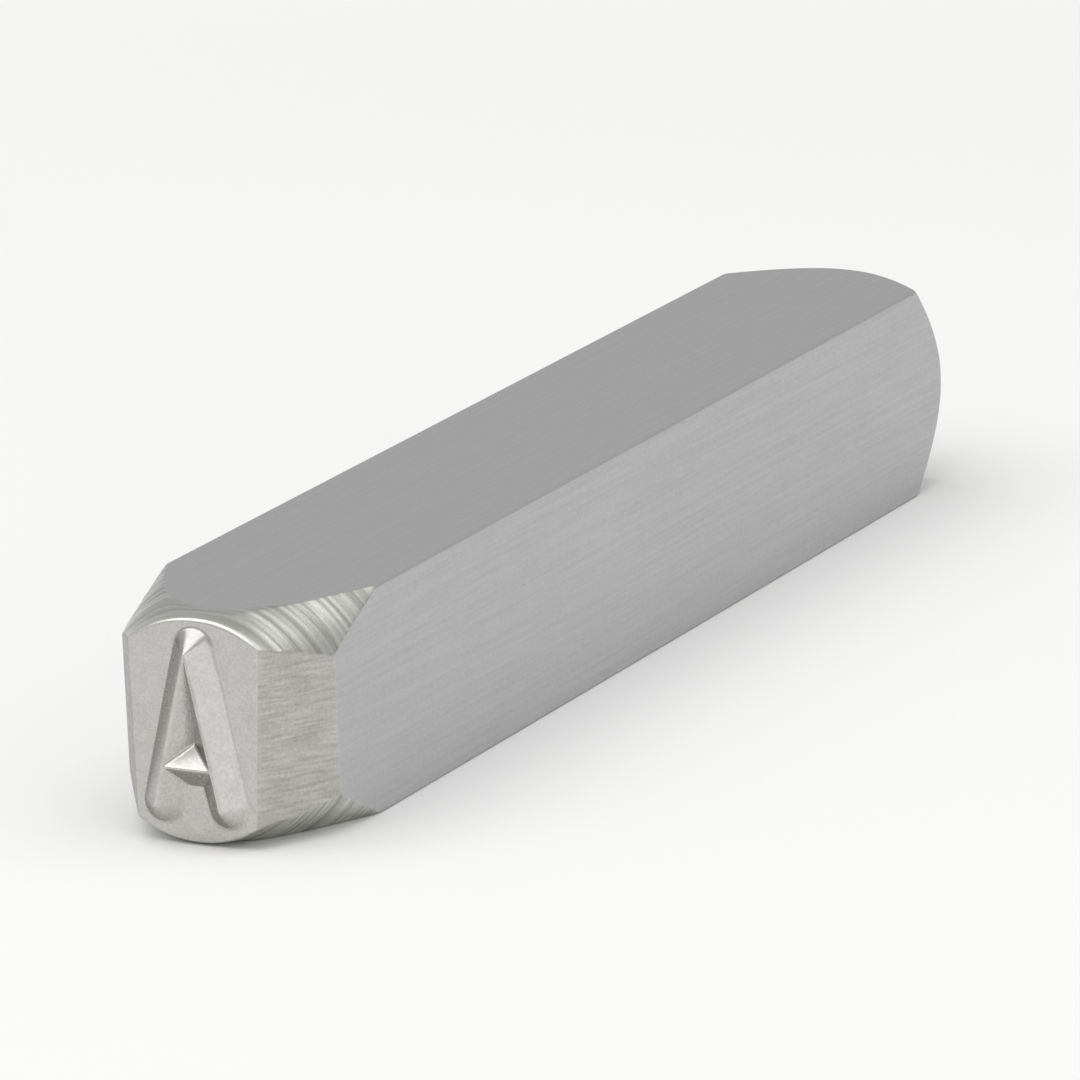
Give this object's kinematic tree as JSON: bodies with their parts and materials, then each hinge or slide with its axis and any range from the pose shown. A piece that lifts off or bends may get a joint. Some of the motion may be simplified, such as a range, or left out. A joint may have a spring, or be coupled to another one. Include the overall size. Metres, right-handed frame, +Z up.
{
  "type": "letter punch",
  "caption": "Square steel hand punch with a turned, side-ground nose and a raised letter, struck to press the letter into metal.",
  "frame": {"origin": "centre of the bounding box's bottom face, on the flat of the shank that the punch lies on", "axes": "+Y along the punch from the letter to the struck end, +Z up from the flat it lies on towards the top of the letter, +X to the right as one looks at the letter"},
  "size_m": [0.0096, 0.066, 0.0095],
  "materials": {
    "tool_steel": "satin, bare hardened steel with turning and grinding marks at the nose"
  },
  "bodies": {
    "root": {"letter_punch": "tool_steel"}
  },
  "joints": []
}
